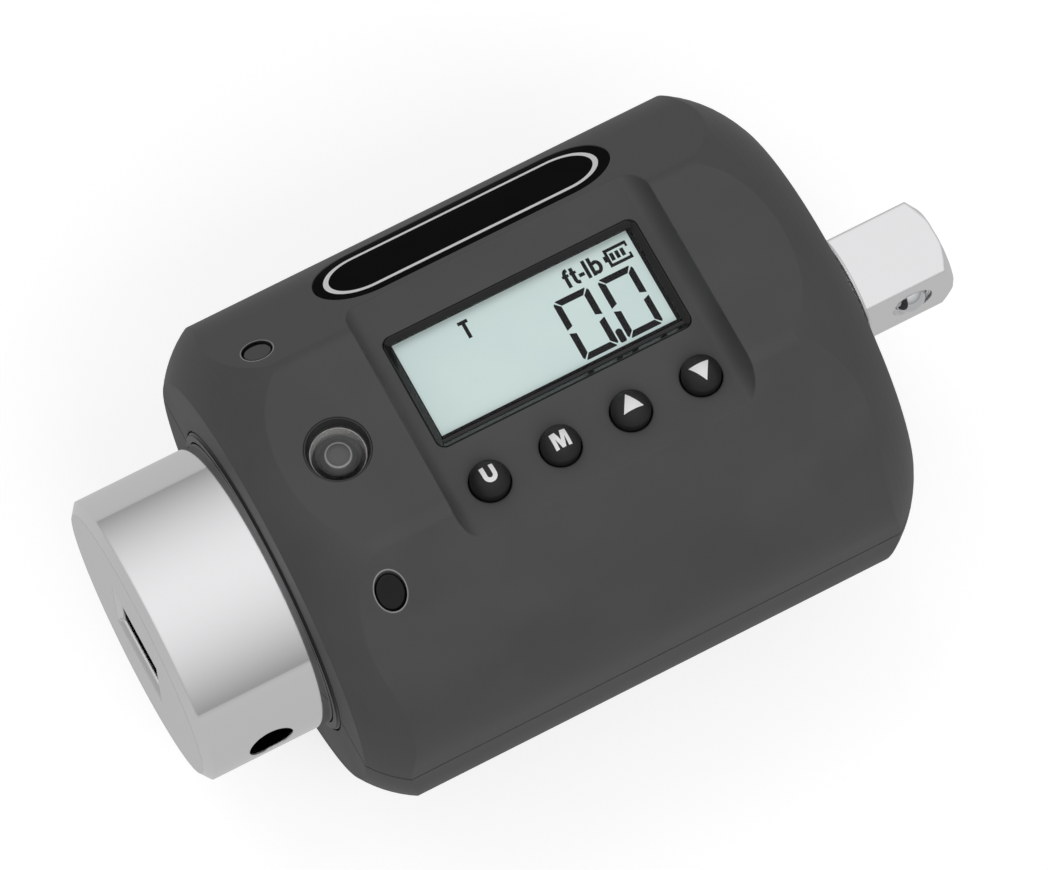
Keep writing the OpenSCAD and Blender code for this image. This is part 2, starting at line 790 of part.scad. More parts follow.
module lcd_holder() {
    x = grown(glass_x, lcd_lap[0]);
    y = grown(glass_span, lcd_lap[1]);
    color("#e8e8e4") difference() {
        block(grown(x, holder_wall), grown(y, holder_wall), [board_z, lcd_base]);
        block(grown(x, -holder_wall), grown(y, -holder_wall), [board_z - cut, lcd_base - holder_shelf]);
        block(grown(x, -3 * holder_wall), grown([y[0] + strip_inset, y[0] + strip_inset + strip_w], fit),
            [board_z - cut, lcd_base + cut]);
    }
}

module contact_strip() {
    x = grown(glass_x, lcd_lap[0] - 3 * holder_wall - fit);
    y0 = glass_span[0] - lcd_lap[1] + strip_inset;
    color("#2f2f33") block(x, [y0, y0 + strip_w], [board_z, lcd_z - lcd_t / 2]);
}

// A domed rubber button with the flange that keeps it under the panel
module button(i) {
    dome_r = (button_d * button_d / 4 + button_dome * button_dome) / (2 * button_dome);
    color("#1b1b1d") union() {
        intersection() {
            rod_z([button_x[i], button_y], [panel_z, half], button_d / 2);
            translate([button_x[i], button_y, button_top - dome_r]) sphere(r = dome_r, $fn = 96);
        }
        rod_z([button_x[i], button_y], [flange_base, panel_z + button_rise / 2], button_d / 2);
        rod_z([button_x[i], button_y], [flange_base, flange_top], button_flange_r);
        rod_z([button_x[i], button_y], [plunger_top, flange_base + fit], stem_r);
    }
}
module plunger(i) {
    color("#b9a04a") rod_z([button_x[i], button_y], [switch_top - plunger_down_h, plunger_top], plunger_r);
}
module button_units() { button(0); }
module button_mode() { button(1); }
module button_up() { button(2); }
module button_down() { button(3); }
module plunger_units() { plunger(0); }
module plunger_mode() { plunger(1); }
module plunger_up() { plunger(2); }
module plunger_down() { plunger(3); }

module switch_bodies() {
    color("#3a3a3c") for (x = button_x) difference() {
        block(grown([x, x], switch_w / 2), grown([button_y, button_y], switch_w / 2), [board_z, switch_top]);
        rod_z([x, button_y], [switch_top - plunger_down_h - button_travel - 2 * fit, switch_top + cut],
            plunger_r + plunger_play);
    }
}

module lamp_ring() {
    top = half - fit;
    r = lamp_ring_d / 2;
    color("#2a2a2d") translate([lamp_x, 0, 0]) rotate_extrude() polygon([
        [lamp_lens_d / 2 + slip, in_half - lamp_flange_t], [lamp_flange_r, in_half - lamp_flange_t],
        [lamp_flange_r, in_half - slip], [r, in_half - slip], [r, top],
        [r - ring_edge, top], [lamp_lens_d / 2 + slip, top - ring_cone_h]]);
}

module lamp_lens() {
    r = lamp_lens_d / 2;
    dome_r = (r * r + lens_dome * lens_dome) / (2 * lens_dome);
    base = in_half - 2 * lamp_flange_t;
    top = half - fit - ring_cone_h + lens_dome;
    color("#e6ecec", 0.4) union() {
        intersection() {
            rod_z([lamp_x, 0], [base, half], r);
            translate([lamp_x, 0, top - dome_r]) sphere(r = dome_r, $fn = 96);
        }
        rod_z([lamp_x, 0], [base, base + lamp_flange_t], lamp_flange_r);
    }
}

module lamp_led() {
    base = board_z + led_lift;
    color("#e9eef0") union() {
        rod_z([lamp_x, 0], [base, base + led_flange_t], led_flange_r);
        rod_z([lamp_x, 0], [base, base + led_h], led_r);
        translate([lamp_x, 0, base + led_h]) sphere(r = led_r);
    }
    color("#b8bcc0") for (side = [-1, 1])
        rod_z([lamp_x, side * lead_pitch / 2], [board_base - cut, base], lead_r);
}

module main_board() {
    color("#1f5a3a") difference() {
        union() {
            block(board_x, [-board_wid / 2, board_wid / 2], [board_base, board_z]);
            block([lamp_x - tongue_past, board_x[0] + cut], [-tongue_wid / 2, tongue_wid / 2],
                [board_base, board_z]);
        }
        for (x = post_x)
            both_sides() rod_z([x, post_y], [board_base - cut, board_z + cut], shank_d / 2 + 2 * fit);
        for (side = [-1, 1])
            rod_z([lamp_x, side * lead_pitch / 2], [board_base - cut, board_z + cut], lead_r + slip);
    }
}

module board_chips() {
    x = glass_x[0];
    flex_x = flat_mid + flat_len / 2 + flex_run - flex_foot;
    color("#1c1c1e") {
        block([x, x + chip_w], [-chip_w / 2, chip_w / 2], [board_base - chip_h, board_base]);
        translate([chip_w + small_chip[0], small_chip[0], 0])
            block([x, x + small_chip[0]], [0, small_chip[1]], [board_base - chip_h, board_base]);
    }
    color("#b9bcc0") translate([0, chip_w + crystal[0], 0])
        block([x, x + crystal[1]], [0, crystal[0]], [board_base - 2 * chip_h, board_base]);
    color("#e4e0d2") block([flex_x, flex_x + flex_socket[0]], grown([0, 0], flex_socket[1] / 2),
        [board_base - socket_h, board_base]);
}

module buzzer() {
    color("#19191b") difference() {
        rod_z(buzzer_place, [board_base - buzzer_h, board_base], buzzer_r);
        rod_z(buzzer_place, [board_base - buzzer_h - cut, board_base - buzzer_h + cut], buzzer_hole_r);
    }
}

// A small screw, head down the recess, with a cross in its head
module screw(length, head) {
    difference() {
        union() {
            cylinder(h = length, r = shank_d / 2);
            translate([0, 0, length]) cylinder(h = head, r = head_d / 2);
        }
        for (turn = [0, 90]) rotate([0, 0, turn])
            block([-bit_r, bit_r], [-bit_w / 2, bit_w / 2], [length + head * bit_from, length + head + cut]);
    }
}
module board_screws() {
    reach = board_t + post_screw_len - cut;
    color("#b0b2b5") for (x = post_x)
        both_sides() translate([x, post_y, board_base + reach]) mirror([0, 0, 1]) screw(reach, head_h);
}
module shell_screws() {
    reach = seat_z + insert_inset + insert_len;
    color("#8f9295") both_sides() {
        translate([screw_x[0], screw_y, seat_z - reach]) screw(reach, head_h);
        translate([screw_x[1], screw_y, reach - seat_z]) mirror([0, 0, 1]) screw(reach, head_h);
    }
}
module screw_inserts() {
    color("#b08d3c") both_sides() {
        for (end = [0, 1]) mirror([0, 0, 1 - end]) difference() {
            rod_z([screw_x[end], screw_y], [insert_inset, insert_inset + insert_len], insert_r);
            rod_z([screw_x[end], screw_y], [0, half], shank_d / 2 + slip);
        }
    }
}

module strain_gauges() {
    color("#c98a3a") for (turn = [0, 90, 180, 270]) rotate([turn, 0, 0])
        block(grown([flat_mid, flat_mid], foil_len / 2), [-foil_wid / 2, foil_wid / 2],
            [gauge_flats / 2, gauge_flats / 2 + foil_t]);
}

// A flat flexible lead that climbs from the upper gauge to its socket on the board
function bend_rise(t, z0, rise) = z0 + rise * (1 - cos(180 * t)) / 2;
module gauge_flex() {
    x0 = flat_mid + foil_len / 2;
    x1 = x0 + flex_foot;
    low = gauge_flats / 2;
    high = board_base - socket_h - flex_t;
    rise = high - low;
    bend = [for (i = [0 : ramp_steps]) let(t = i / ramp_steps) [x1 + flex_run * t, bend_rise(t, low, rise)]];
    line = concat([[x0, low]], bend, [[x1 + flex_run + flex_foot, high]]);
    back = [for (i = [len(line) - 1 : -1 : 0]) line[i] + [0, flex_t]];
    color("#c4742c") drawn_y(flex_w) polygon(concat(line, back));
}

// The pocket and the plate follow the slanted face and its shoulder
module badge_outline(grow) {
    r = badge_wid / 2 + grow;
    reach = badge_len / 2 - badge_wid / 2;
    rotate([-45, 0, 0]) translate([0, badge_shift, half - side_round / 2]) linear_extrude(side_round) {
        for (x = [-reach, reach]) translate([badge_mid + x, 0]) circle(r = r);
        translate([badge_mid - reach, -r]) square([2 * reach, 2 * r]);
    }
}
module badge_pocket(outer, grow) {
    difference() {
        badge_outline(grow);
        housing_inset(badge_t);
    }
}
module badge_plate() {
    color("#0d0d0e") intersection() {
        badge_outline(0);
        difference() {
            housing_inset(slip);
            housing_inset(badge_t);
        }
    }
}

module battery_cover() {
    color("#464648") difference() {
        union() {
            intersection() {
                block(cover_x, [-cover_wid / 2, cover_wid / 2], [-half - cut, 0]);
                difference() {
                    housing_outer();
                    housing_inset(cover_t);
                }
            }
            block(grown(bay_x, -2 * fit), grown([-bay_wid / 2, bay_wid / 2], -2 * fit),
                [cover_z - slip, plug_z]);
            block([bay_x[0] + 2 * fit, bay_x[0] + 2 * fit + hook_root], [-hook_w / 2, hook_w / 2],
                [plug_z - slip, plug_z + hook_t]);
            block([bay_x[0] - hook_reach, bay_x[0] + 2 * fit + hook_root], [-hook_w / 2, hook_w / 2],
                [plug_z + slip, plug_z + hook_t]);
        }
        rod_z([cover_screw_x, 0], [-half - cut, 0], shank_d / 2 + 2 * fit);
        rod_z([cover_screw_x, 0], [-half - cut, -half + cover_recess], head_d / 2 + 2 * fit);
        for (i = [0 : grip_count - 1])
            translate([bay_x[1] - 2 * grip_w * (i + 2), 0, -half])
                block([0, grip_w], [-grip_len / 2, grip_len / 2], [-cut, grip_depth]);
    }
}
module cover_screw() {
    reach = cover_boss_h - cut - 2 * fit - cover_recess;
    color("#8f9295") translate([cover_screw_x, 0, -half + cover_recess + reach]) mirror([0, 0, 1])
        screw(reach, cover_recess - fit);
}

// The two cells lie side by side and point opposite ways
module cell() {
    color("#3c6ea0") rotate([0, 90, 0]) difference() {
        union() {
            cylinder(h = cell_len - nub_h, r = cell_d / 2);
            cylinder(h = cell_len, r = nub_r);
        }
        translate([0, 0, cell_len - nub_h - crimp_at]) difference() {
            cylinder(h = crimp_w, r = cell_d);
            cylinder(h = crimp_w, r = cell_d / 2 - crimp_depth);
        }
    }
}
module battery_cells() {
    translate([bay_x[1] - contact_t - cell_len, cell_y, cell_z]) cell();
    translate([bay_x[0] + contact_t + cell_len, -cell_y, cell_z]) mirror([1, 0, 0]) cell();
}
module battery_contacts() {
    color("#c9ccd0") for (y = [-cell_y, cell_y]) {
        block([bay_x[1] - contact_t, bay_x[1]], grown([y, y], contact_w / 2),
            grown([cell_z, cell_z], contact_h / 2));
        block([bay_x[1] - contact_t, bay_x[1]], grown([y, y], tab_w / 2),
            [cell_z, bay_top + bay_wall + tab_up]);
    }
    color("#c9ccd0") block([bay_x[0], bay_x[0] + contact_t], grown([-cell_y, cell_y], contact_w / 2),
        grown([cell_z, cell_z], contact_h / 2));
}
module battery_springs() {
    room = bay_len - 2 * contact_t - cell_len;
    color("#b5b8bc") {
        translate([bay_x[0] + contact_t, cell_y, cell_z]) rotate([0, 90, 0])
            coil_spring(room, cell_d / 4, battery_wire);
        translate([bay_x[1] - contact_t, -cell_y, cell_z]) rotate([0, -90, 0])
            coil_spring(room, cell_d / 4, battery_wire);
    }
}

// Two insulated leads climb past the shaft from the cells' tabs to the board
module wire_between(a, b) {
    d = b - a;
    length = norm(d);
    translate(a) rotate([0, acos(d[2] / length), atan2(d[1], d[0])])
        cylinder(h = length, r = wire_r, $fn = 24);
    translate(b) sphere(r = wire_tip, $fn = 24);
}
module lead(side) {
    x = bay_x[1] - contact_t / 2;
    stops = [[x, side * cell_y, bay_top + bay_wall + tab_up + wire_tip],
        [x, side * lead_side, lead_turn_z[0]], [x, side * lead_side, lead_turn_z[1]],
        [x - lead_in, side * lead_side, board_base - 2 * wire_tip],
        [x - lead_in, side * lead_side, board_base - wire_tip]];
    translate(stops[0]) sphere(r = wire_tip, $fn = 24);
    for (i = [0 : len(stops) - 2]) wire_between(stops[i], stops[i + 1]);
}
module battery_leads() {
    color("#a32020") lead(1);
    color("#1a1a1a") lead(-1);
}

translate([0, 0, half]) {
    upper_shell();
    lower_shell();
    collar_ring();
    torque_shaft();
    detent_ball();
    detent_spring();
    shaft_bushing();
    retaining_ring();
    display_bezel();
    display_window();
    lcd_panel();
    lcd_holder();
    contact_strip();
    button_units();
    button_mode();
    button_up();
    button_down();
    plunger_units();
    plunger_mode();
    plunger_up();
    plunger_down();
    switch_bodies();
    lamp_ring();
    lamp_lens();
    lamp_led();
    main_board();
    board_chips();
    buzzer();
    board_screws();
    strain_gauges();
    gauge_flex();
    badge_plate();
    shell_screws();
    screw_inserts();
    battery_cover();
    cover_screw();
    battery_cells();
    battery_contacts();
    battery_springs();
    battery_leads();
}
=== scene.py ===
# %% [markdown]
# # A digital torque meter, dressed for its portrait
#
# The meter's solids come from the CAD frame: a grey eight-sided housing, a chrome
# collar with a square hole, a chrome square with a ball, four rubber keys and a
# display. This lesson adds what solids cannot carry: the finish of each surface, the
# figures behind the display's window, the prints on the keys and the light.

# %% Load the CAD frame
import math

import bmesh
import bpy
from mathutils import Matrix, Vector
from mathutils.bvhtree import BVHTree


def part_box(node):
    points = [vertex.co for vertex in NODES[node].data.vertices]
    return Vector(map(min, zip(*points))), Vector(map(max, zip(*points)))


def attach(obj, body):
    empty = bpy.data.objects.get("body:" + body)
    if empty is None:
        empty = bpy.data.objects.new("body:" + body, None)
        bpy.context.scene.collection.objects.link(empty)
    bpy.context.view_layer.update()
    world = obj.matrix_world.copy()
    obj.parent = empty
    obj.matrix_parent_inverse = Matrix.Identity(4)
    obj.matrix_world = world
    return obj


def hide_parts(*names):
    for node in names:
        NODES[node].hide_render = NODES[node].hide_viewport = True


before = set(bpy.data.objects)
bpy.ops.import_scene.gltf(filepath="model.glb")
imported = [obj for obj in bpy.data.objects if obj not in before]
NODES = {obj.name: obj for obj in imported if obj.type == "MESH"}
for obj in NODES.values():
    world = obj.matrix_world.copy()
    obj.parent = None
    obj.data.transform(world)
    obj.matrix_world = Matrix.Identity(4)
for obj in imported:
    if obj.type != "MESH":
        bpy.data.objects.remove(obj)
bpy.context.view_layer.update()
MM = 0.001
AXIS_Z = (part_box("torque_shaft")[0].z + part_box("torque_shaft")[1].z) / 2
print(len(NODES), "CAD nodes, drive axis at", round(AXIS_Z / MM, 2), "mm")

# %% [markdown]
# ## The camera
#
# The photograph was taken from far away with a long lens, so parallel edges stay
# parallel. The picture's right and up directions are known from the edges of the
# housing, which gives the camera's turn. A camera matrix is built from those three
# directions, because one vector each for right, up and back is easier to check than
# three angles.

# %% Place the camera
PHOTO_WIDTH_MM = 116.4
DISTANCE = 0.9
along = Vector((0.988, -0.051, 0.148))
across = Vector((0.0, -0.9455, -0.3256))
right = (0.895 * along + 0.446 * across).normalized()
back = right.cross(0.446 * along - 0.895 * across).normalized()
up = back.cross(right)
aim = Vector((0, 0, AXIS_Z)) + (-1.578 * right + 1.022 * up) * MM
camera_data = bpy.data.cameras.new("camera")
camera_data.sensor_width = 36
camera_data.lens = 36 * DISTANCE / (PHOTO_WIDTH_MM * MM)
camera_data.clip_start = 0.01
camera = bpy.data.objects.new("camera", camera_data)
bpy.context.scene.collection.objects.link(camera)
camera.matrix_world = Matrix.Translation(aim + back * DISTANCE) @ Matrix((right, up, back)).transposed().to_4x4()
bpy.context.scene.camera = camera
print("camera looks down at", round(math.degrees(math.asin(back.z)), 1), "degrees")

# %% [markdown]
# ## A small language for materials
#
# A node tree drawn by hand is hard to read as code. The class below wraps one output
# of a node, so that `grain * 0.3 + 0.7` adds its own Math nodes. Every other node
# comes from `Finish.add`, which sets a node's options before its values or links.


# %% Shader expressions
class Wire:
    def __init__(self, finish, socket):
        self.finish, self.socket = finish, socket

    def math(self, operation, *others):
        return self.finish.add("Math", {"operation": operation}, [self, *others])

    def __add__(self, other):
        return self.math("ADD", other)

    def __mul__(self, other):
        return self.math("MULTIPLY", other)

    def __sub__(self, other):
        return self.math("SUBTRACT", other)

    def __rsub__(self, other):
        return self.finish.add("Math", {"operation": "SUBTRACT"}, [other, self])

    __radd__, __rmul__ = __add__, __mul__

    def step(self, low, high, smooth=True):
        """0 below low, 1 above high."""
        kind = "SMOOTHSTEP" if smooth else "LINEAR"
        return self.finish.add("MapRange", {"interpolation_type": kind}, [self, low, high, 0.0, 1.0])


class Finish:
    """A material whose Principled shader takes plain values first and links later."""

    def __init__(self, name, color, rough, metal=0.0, **fixed):
        self.material = bpy.data.materials.new(name)
        self.material.use_nodes = True
        self.tree = self.material.node_tree
        self.shader = self.tree.nodes["Principled BSDF"]
        self.put("Base Color", (*color, 1))
        self.put("Roughness", rough)
        self.put("Metallic", metal)
        for socket, value in fixed.items():
            self.put(socket.replace("_", " "), value)
        self.material.diffuse_color = (*color, 1)

    def put(self, socket, value, node=None):
        target = (node or self.shader).inputs[socket]
        if isinstance(value, Wire):
            self.tree.links.new(value.socket, target)
        else:
            target.default_value = value

    def add(self, kind, settings=None, inputs=(), output=0):
        node = self.tree.nodes.new("ShaderNode" + kind)
        for name, value in (settings or {}).items():
            setattr(node, name, value)
        pairs = inputs.items() if isinstance(inputs, dict) else enumerate(inputs)
        for name, value in pairs:
            if value is not None:
                self.put(name, value, node)
        return Wire(self, node.outputs[output])

    def place(self, axis=None):
        """Where a point is on the object, in metres, or one of its three numbers."""
        spot = self.add("TexCoord", output="Object")
        return spot if axis is None else self.add("SeparateXYZ", inputs=[spot], output=axis)

    def noise(self, size_mm, detail=2.0, rough=0.5, stretch=(1, 1, 1)):
        """Soft random spots about size_mm across, from 0 to 1."""
        scale = tuple(s / (size_mm * MM) for s in stretch)
        spot = self.add("Mapping", {"vector_type": "POINT"}, {"Vector": self.place(), "Scale": scale})
        return self.add("TexNoise", inputs={"Vector": spot, "Scale": 1.0, "Detail": detail, "Roughness": rough})

    def blend(self, mask, first, second):
        """Colour first where mask is 0, second where it is 1."""
        first = first if isinstance(first, Wire) else (*first, 1)
        second = second if isinstance(second, Wire) else (*second, 1)
        mix = self.tree.nodes.new("ShaderNodeMix")
        mix.data_type = "RGBA"
        for name, value in ((0, mask), (6, first), (7, second)):
            self.put(name, value, mix)
        return Wire(self, mix.outputs[2])

    def bumps(self, height, depth_mm, normal=None):
        return self.add("Bump", inputs={"Height": height, "Distance": depth_mm * MM, "Strength": 1.0, "Normal": normal})

    def soften(self, radius_mm, samples=6):
        """A normal that rounds crisp edges, as a mould or a polishing wheel does."""
        return self.add("Bevel", {"samples": samples}, {"Radius": radius_mm * MM})


def dress(finish, *names):
    for name in names:
        piece = NODES[name]
        piece.data.materials.clear()
        piece.data.materials.append(finish.material)
    print(finish.material.name, "on", ", ".join(names))


# %% [markdown]
# ## Housing
#
# The housing is moulded in a dark grey plastic with a soft-touch surface. A flat grey
# would look like a drawing, so three scales are layered: a fine spark-eroded grain in
# the bump, faint cloudy changes of gloss from handling, and a painted highlight: a pale
# line on the lips of the screw recesses, standing in for the light their edges catch. A
# Bevel node rounds the crisp CAD edges, which costs less than real bevels on a mesh that
# must stay as it is.

# %% Soft-touch plastic
SCREWS = [(x, y, on_top) for x, on_top in ((-25.9, True), (26.6, False)) for y in (-15.7, 15.7)]
# Radii of the painted highlight on the lips of the screw recesses.
LIP_HIGHLIGHT_INNER, LIP_HIGHLIGHT_OUTER = (1.76 * MM, 1.78 * MM), (1.85 * MM, 1.93 * MM)


def soft_touch(name, color, rough=0.55):
    skin = Finish(name, color, rough, Specular_IOR_Level=0.3)
    cloud = skin.noise(9, 4)
    grain = skin.noise(0.12, 2, 0.6)
    speck = skin.noise(0.5, 3)
    upper = skin.place("Z").step(AXIS_Z - MM, AXIS_Z + MM)
    lip_highlight = None
    for x, y, on_top in SCREWS:
        level = skin.add("CombineXYZ", inputs=[skin.place("X"), skin.place("Y"), 0.0])
        reach = skin.add("VectorMath", {"operation": "DISTANCE"}, [level, (x * MM, y * MM, 0)], output="Value")
        ring = reach.step(*LIP_HIGHLIGHT_INNER) * (1 - reach.step(*LIP_HIGHLIGHT_OUTER))
        ring = ring * (upper if on_top else 1 - upper)
        lip_highlight = ring if lip_highlight is None else lip_highlight.math("MAXIMUM", ring)
    dark, light = tuple(c * 0.94 for c in color), tuple(c * 1.06 for c in color)
    base = skin.blend(cloud.step(0.3, 0.7), dark, light)
    # Painted highlight: the lips of the screw recesses on the top are lightened to pale grey, standing in for the light
    # their edges catch.
    base = skin.blend(lip_highlight * 0.8, base, (0.36, 0.36, 0.36))
    skin.put("Base Color", base)
    skin.put("Roughness", cloud.step(0.2, 0.8) * 0.08 + (rough - 0.05) + speck * 0.03)
    skin.put("Normal", skin.bumps(grain, 0.004, skin.soften(0.25)))
    return skin


HOUSING = soft_touch("soft_touch_grey", (0.068, 0.068, 0.069))
dress(HOUSING, "upper_shell", "lower_shell", "battery_cover")

# %% [markdown]
# ## Chrome and steel
#
# Chrome is a mirror, so its look is mostly the light tent round it. What gives it
# away as a made thing is fine polishing haze, a slightly satin end face and soft
# edges. Inside the housing the same shaft is only turned, so the finish changes along
# X from plated to turned steel.

# %% Chrome, steel and brass
HALF_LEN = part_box("torque_shaft")[1].x


def metal(name, color, rough, grain_mm=0.3, depth_mm=0.002, stretch=(1, 1, 1), edge_mm=0.15):
    skin = Finish(name, color, rough, 1.0)
    haze = skin.noise(6, 3)
    line = skin.noise(grain_mm, 3, 0.6, stretch)
    skin.put("Roughness", rough * (0.75 + 0.5 * haze))
    tint = tuple(c * 0.9 for c in color)
    skin.put("Base Color", skin.blend(haze.step(0.2, 0.8), tint, color))
    skin.put("Normal", skin.bumps(line, depth_mm, skin.soften(edge_mm)))
    return skin


chrome = Finish("plated_shaft", (0.78, 0.79, 0.80), 0.06, 1.0)
x_place = chrome.place("X")
inside = x_place.step(-33.5 * MM, -33.0 * MM) * (1 - x_place.step(33 * MM, 33.4 * MM))
face = 1 - x_place.step(-HALF_LEN + 0.02 * MM, -HALF_LEN + 0.06 * MM)
turned = chrome.add("TexWave", {"wave_type": "BANDS", "bands_direction": "X", "wave_profile": "SAW"},
                    {"Vector": chrome.place(), "Scale": 1 / (0.3 * MM), "Distortion": 0.4, "Detail": 2.0})
haze = chrome.noise(5, 4)
polish = chrome.noise(0.35, 3, 0.6, (0.2, 1, 1))
plated = chrome.blend(face, (0.80, 0.80, 0.81), (0.70, 0.70, 0.70))
chrome.put("Base Color", chrome.blend(inside, plated, (0.50, 0.49, 0.47)))
chrome.put("Roughness", 0.045 + haze * 0.03 + inside * 0.22 + face * 0.16)
chrome.put("Normal", chrome.bumps(turned * inside * 0.7 + polish * 0.05, 0.004, chrome.soften(0.4)))
dress(chrome, "torque_shaft")
dress(metal("bearing_ball", (0.74, 0.75, 0.76), 0.05), "detent_ball")
dress(metal("zinc_screws", (0.48, 0.49, 0.50), 0.3, 0.15, 0.004), "shell_screws", "board_screws", "cover_screw")
dress(metal("oiled_spring_steel", (0.28, 0.28, 0.29), 0.32, 0.4, 0.004), "detent_spring", "retaining_ring")
dress(metal("nickel_contacts", (0.66, 0.65, 0.61), 0.22, 0.25, 0.003), "battery_contacts", "battery_springs")

brass = Finish("knurled_brass", (0.70, 0.50, 0.20), 0.28, 1.0)
knurl = brass.add("TexWave", {"wave_type": "BANDS", "bands_direction": "DIAGONAL"},
                  {"Vector": brass.place(), "Scale": 1 / (0.5 * MM)})
brass.put("Base Color", brass.blend(brass.noise(1.2, 3).step(0.3, 0.7), (0.60, 0.42, 0.16), (0.76, 0.56, 0.24)))
brass.put("Roughness", 0.2 + brass.noise(0.8) * 0.2)
brass.put("Normal", brass.bumps(knurl, 0.05))
dress(brass, "screw_inserts")

# %% [markdown]
# ## Small mouldings
#
# The ring round the collar is black and satin, the display's rim is a glossy black
# moulding, and the name plate is so matt that it shows no reflection at all. The same
# helper makes all of them from a colour, a roughness, the size of their grain and how
# much they shine.


# %% Black plastics and rubber
def plastic(name, color, rough, grain_mm=0.2, depth_mm=0.002, edge_mm=0.12, spread=0.12, shine=0.5):
    skin = Finish(name, color, rough, Specular_IOR_Level=shine)
    cloud, grain = skin.noise(5, 3), skin.noise(grain_mm, 2)
    dark, light = tuple(c * (1 - spread) for c in color), tuple(c * (1 + spread) for c in color)
    skin.put("Base Color", skin.blend(cloud.step(0.3, 0.7), dark, light))
    skin.put("Roughness", rough * (0.85 + 0.3 * cloud))
    skin.put("Normal", skin.bumps(grain, depth_mm, skin.soften(edge_mm)))
    return skin


dress(plastic("satin_black_ring", (0.012, 0.012, 0.012), 0.38, 0.3, 0.003, 0.2, shine=0.22), "collar_ring")
dress(plastic("gloss_black_rim", (0.006, 0.006, 0.006), 0.14, 0.4, 0.001, 0.1, shine=0.42), "display_bezel")
dress(plastic("matt_black_plate", (0.0012, 0.0012, 0.0012), 0.5, 0.6, 0.001, 0.08, shine=0.01), "badge_plate")
dress(plastic("key_rubber", (0.015, 0.015, 0.015), 0.46, 0.09, 0.004, 0.25, shine=0.3),
      "button_units", "button_mode", "button_up", "button_down")
dress(plastic("black_nylon", (0.020, 0.020, 0.021), 0.45, 0.15, 0.004), "shaft_bushing", "switch_bodies")
dress(plastic("moulded_epoxy", (0.022, 0.022, 0.024), 0.5, 0.08, 0.004), "board_chips", "buzzer")
dress(plastic("amber_acetal", (0.45, 0.30, 0.10), 0.4, 0.2),
      "plunger_units", "plunger_mode", "plunger_up", "plunger_down")
dress(plastic("white_holder", (0.72, 0.72, 0.70), 0.45, 0.2, 0.003, spread=0.03), "lcd_holder")

# %% [markdown]
# ## Board, gauges and cells
#
# These sit inside, yet the meter can be opened in a viewer. Each gets the pattern that
# tells what it is: copper tracks under green mask, the fine grid of a foil gauge, the
# stripes of a contact rubber, a two-colour sleeve on the cells and one red and one
# black lead.

# %% Inner finishes
board = Finish("green_board", (0.02, 0.13, 0.05), 0.35)
tracks = board.add("TexBrick", {"offset": 0.37, "squash": 1.4}, {
    "Vector": board.place(), "Color1": (0, 0, 0, 1), "Color2": (0, 0, 0, 1), "Mortar": (1, 1, 1, 1),
    "Scale": 1.0, "Mortar Size": 0.16 * MM, "Brick Width": 4.2 * MM, "Row Height": 1.7 * MM})
board.put("Base Color", board.blend(tracks, (0.012, 0.095, 0.035), (0.05, 0.24, 0.09)))
board.put("Roughness", 0.3 + board.noise(2) * 0.15)
board.put("Normal", board.bumps(tracks, 0.02))
dress(board, "main_board")

gauge = Finish("foil_gauge", (0.70, 0.36, 0.12), 0.4)
grid = gauge.add("TexWave", {"wave_type": "BANDS", "bands_direction": "Y"},
                 {"Vector": gauge.place(), "Scale": 1 / (1.6 * MM)})
gauge.put("Base Color", gauge.blend(grid.step(0.4, 0.6), (0.62, 0.30, 0.08), (0.78, 0.62, 0.40)))
gauge.put("Metallic", grid.step(0.4, 0.6) * 0.8)
dress(gauge, "strain_gauges")

flex = Finish("amber_film", (0.55, 0.20, 0.03), 0.22)
runs = flex.add("TexWave", {"wave_type": "BANDS", "bands_direction": "Y"},
                {"Vector": flex.place(), "Scale": 1 / (3 * MM)})
flex.put("Base Color", flex.blend(runs.step(0.55, 0.7), (0.52, 0.19, 0.03), (0.72, 0.38, 0.12)))
dress(flex, "gauge_flex")

zebra = Finish("striped_rubber", (0.05, 0.05, 0.055), 0.6)
stripes = zebra.add("TexWave", {"wave_type": "BANDS", "bands_direction": "X"},
                    {"Vector": zebra.place(), "Scale": 1 / (1.2 * MM)})
zebra.put("Base Color", zebra.blend(stripes.step(0.45, 0.55), (0.02, 0.02, 0.02), (0.35, 0.34, 0.33)))
dress(zebra, "contact_strip")

sleeve = Finish("cell_sleeve", (0.04, 0.12, 0.30), 0.3)
along_cell = sleeve.place("X")
band = along_cell.step(-3 * MM, -2.6 * MM)
turn_round = sleeve.place("Y").step(-0.01 * MM, 0.01 * MM)
mask = band + turn_round - 2 * band * turn_round
sleeve.put("Base Color", sleeve.blend(mask, (0.03, 0.09, 0.26), (0.55, 0.56, 0.58)))
sleeve.put("Metallic", mask * 0.7)
sleeve.put("Roughness", 0.25 + sleeve.noise(1.5) * 0.12)
dress(sleeve, "battery_cells")

leads = Finish("lead_insulation", (0.35, 0.02, 0.02), 0.45)
leads.put("Base Color", leads.blend(leads.place("Y").step(-0.001, 0.001), (0.015, 0.015, 0.015), (0.40, 0.02, 0.02)))
leads.put("Roughness", 0.35 + leads.noise(0.7) * 0.2)
dress(leads, "battery_leads")

led = Finish("led_resin", (0.82, 0.84, 0.84), 0.1, Transmission_Weight=0.3)
resin = led.place("Z").step(45.2 * MM, 45.4 * MM)
led.put("Base Color", led.blend(resin, (0.45, 0.45, 0.46), (0.86, 0.88, 0.88)))
led.put("Metallic", 1 - resin)
dress(led, "lamp_led")

# %% [markdown]
# ## Clear window and lens
#
# Real glass in a renderer blocks direct light, so what lies under it turns grey. The
# window is therefore a thin gloss over a fully clear shader, mixed by Fresnel, and
# only on its outer side: a sheet seen from inside would turn light back. The lamp's
# lens is made in the same way, with more gloss.


